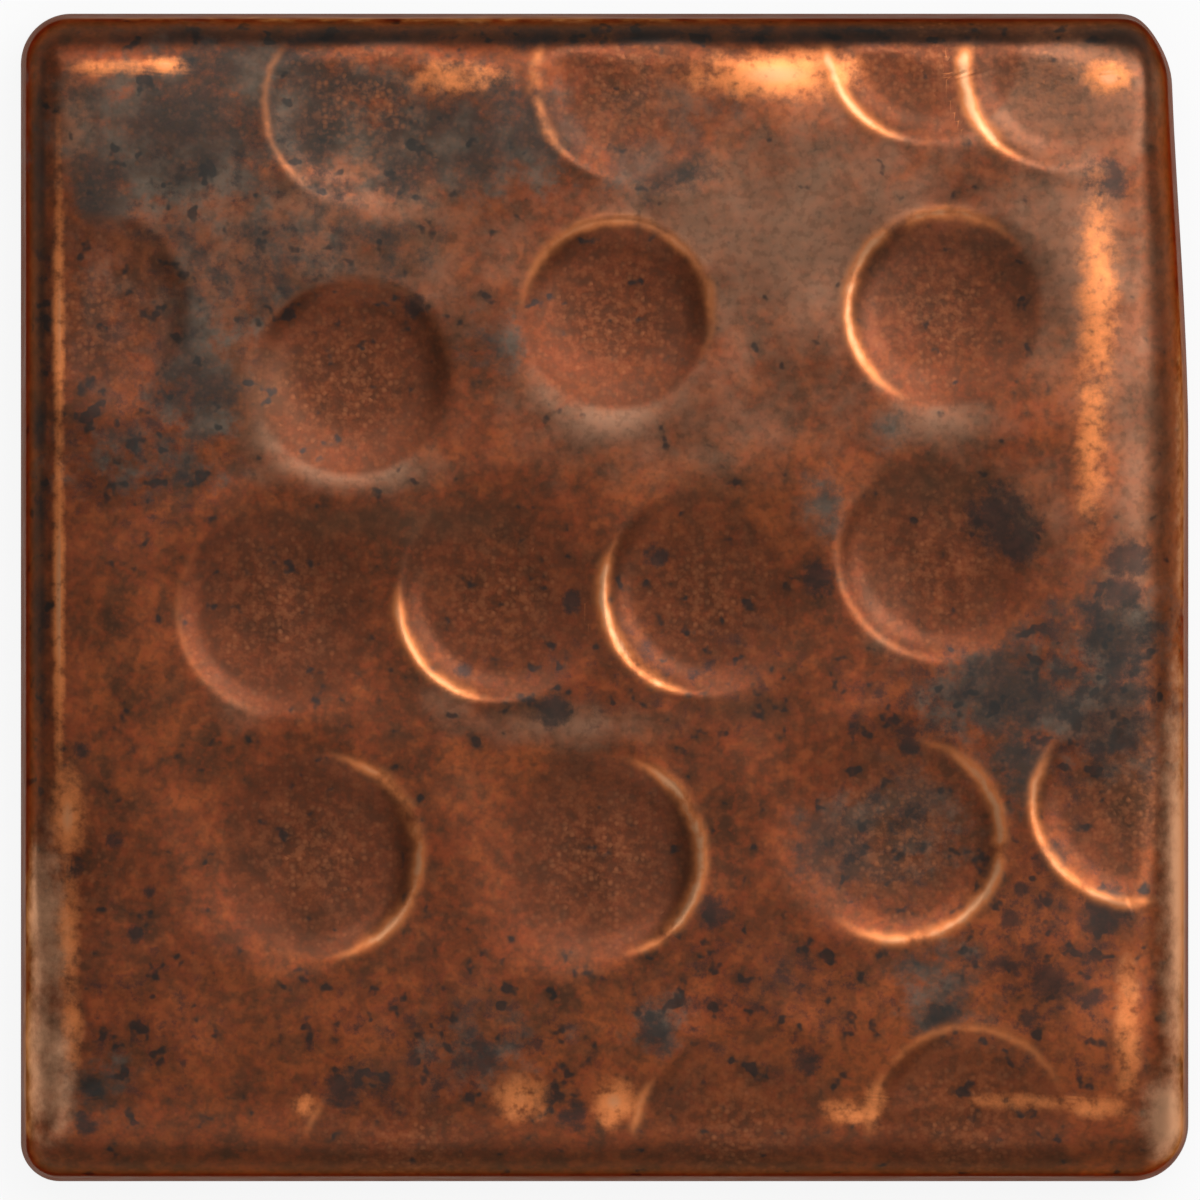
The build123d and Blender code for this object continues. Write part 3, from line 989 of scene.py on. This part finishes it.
class OBJECT_OT_hammered_tile(Operator):
    """Make the hammered sheet, with its patina and its plain back"""

    bl_idname = "object.hammered_tile"
    bl_label = "Hammered Tile"
    bl_options = {"REGISTER", "UNDO"}

    def execute(self, context):
        scene = context.scene
        mesh = tile_mesh(scene.tile_form, scene.tile_hammer)
        tile = bpy.data.objects.new("hammered_tile", mesh)
        scene.collection.objects.link(tile)
        groups = {"mottle": mottle_group(), "ragged": ragged_group(), "grain": grain_group()}
        mesh.materials.append(face_material(scene.tile_colours, groups))
        mesh.materials.append(back_material(scene.tile_colours, groups))
        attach(tile, "root")
        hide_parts(NODE)
        return {"FINISHED"}


def floor_material(colour_value, paleness):
    """Matt pale floor that keeps the shadow and looks near white to the camera and to the metal."""
    material, tree, shader, place = new_material("pale_floor")
    inputs = {"Vector": place, "Scale": 0.02, "Detail": 2.0}
    noise = node(tree, "TexNoise", inputs).outputs["Fac"]
    darker = tuple(0.985 * c for c in colour_value[:3]) + (1.0,)
    tree.links.new(stain(tree, noise, tuple(colour_value), darker), shader.inputs["Base Color"])
    shader.inputs["Roughness"].default_value = 0.9
    shader.inputs["Specular IOR Level"].default_value = 0.2
    white = node(tree, "Emission", {"Color": (1.0, 1.0, 1.0, 1.0), "Strength": 1.0})
    ray = node(tree, "LightPath").outputs
    seen = maths(tree, "MAXIMUM", ray["Is Camera Ray"], ray["Is Glossy Ray"])
    seen = maths(tree, "MAXIMUM", seen, ray["Is Transmission Ray"])
    share = maths(tree, "MULTIPLY", seen, paleness)
    both = node(tree, "MixShader", {0: share, 1: shader.outputs[0], 2: white.outputs[0]})
    out = next(n for n in tree.nodes if n.bl_idname == "ShaderNodeOutputMaterial")
    tree.links.new(both.outputs[0], out.inputs["Surface"])
    return material


def area_lamp(scene, name, power, place):
    """A square soft lamp that faces the tile."""
    data = bpy.data.lights.new(name, "AREA")
    data.energy = power
    data.size = LAMP_SIDE
    lamp = bpy.data.objects.new(name, data)
    scene.collection.objects.link(lamp)
    lamp.location = place
    towards = np.array(LAMP_AIM) - np.array(place)
    lamp.rotation_euler = (
        math.acos(-towards[2] / np.linalg.norm(towards)),
        0.0,
        math.atan2(towards[1], towards[0]) - math.pi / 2,
    )


class OBJECT_OT_tile_stage(Operator):
    """Lay the floor, light the tile softly and set the camera straight above it"""

    bl_idname = "object.tile_stage"
    bl_label = "Stage"
    bl_options = {"REGISTER", "UNDO"}

    def execute(self, context):
        scene = context.scene
        form = scene.tile_stage
        mesh = bpy.data.meshes.new("floor")
        corners = [(-1, -1), (1, -1), (1, 1), (-1, 1)]
        mesh.from_pydata([(x * FLOOR_REACH, y * FLOOR_REACH, 0) for x, y in corners], [], [(0, 1, 2, 3)])
        mesh.materials.append(floor_material(form.floor, form.paleness))
        floor = bpy.data.objects.new("floor", mesh)
        floor.location.z = LOW.z - FLOOR_GAP
        scene.collection.objects.link(floor)

        world = bpy.data.worlds.new("pale_room")
        world.use_nodes = True
        backdrop = world.node_tree.nodes["Background"]
        backdrop.inputs["Color"].default_value = (1.0, 1.0, 1.0, 1.0)
        backdrop.inputs["Strength"].default_value = form.sky
        scene.world = world

        area_lamp(scene, "key_lamp", form.key, KEY_PLACE)
        area_lamp(scene, "top_lamp", form.top, TOP_PLACE)
        area_lamp(scene, "fill_lamp", form.fill, FILL_PLACE)

        data = bpy.data.cameras.new("camera")
        data.sensor_width = 36.0
        data.lens = data.sensor_width * form.camera_height / form.view_width
        data.clip_end = 10.0
        camera = bpy.data.objects.new("camera", data)
        camera.location = (form.view_middle[0], form.view_middle[1], form.camera_height)
        scene.collection.objects.link(camera)
        scene.camera = camera
        scene.view_settings.view_transform = "Standard"
        return {"FINISHED"}


class VIEW3D_PT_hammered_tile(Panel):
    """Sizes, colours and steps of the tile"""

    bl_label = "Hammered Tile"
    bl_space_type = "VIEW_3D"
    bl_region_type = "UI"
    bl_category = "Tile"

    def draw(self, context):
        layout = self.layout
        layout.operator(OBJECT_OT_hammered_tile.bl_idname)
        layout.operator(OBJECT_OT_tile_stage.bl_idname)
        for group in SETTINGS:
            settings = getattr(context.scene, group)
            column = layout.column()
            for name in settings.__annotations__:
                column.prop(settings, name)


SETTINGS = {
    "tile_form": TileForm,
    "tile_hammer": HammerForm,
    "tile_colours": CopperColours,
    "tile_stage": StageForm,
}
CLASSES = [*SETTINGS.values(), OBJECT_OT_hammered_tile, OBJECT_OT_tile_stage, VIEW3D_PT_hammered_tile]


def register():
    """Adds the classes and their settings."""
    for made in CLASSES:
        bpy.utils.register_class(made)
    for name, made in SETTINGS.items():
        setattr(bpy.types.Scene, name, PointerProperty(type=made))


def unregister():
    """Takes the settings and classes away again."""
    for name in SETTINGS:
        delattr(bpy.types.Scene, name)
    for made in reversed(CLASSES):
        bpy.utils.unregister_class(made)


def main():
    """Makes the tile and its stage."""
    register()
    bpy.ops.object.hammered_tile()
    bpy.ops.object.tile_stage()


if __name__ == "__main__":
    main()
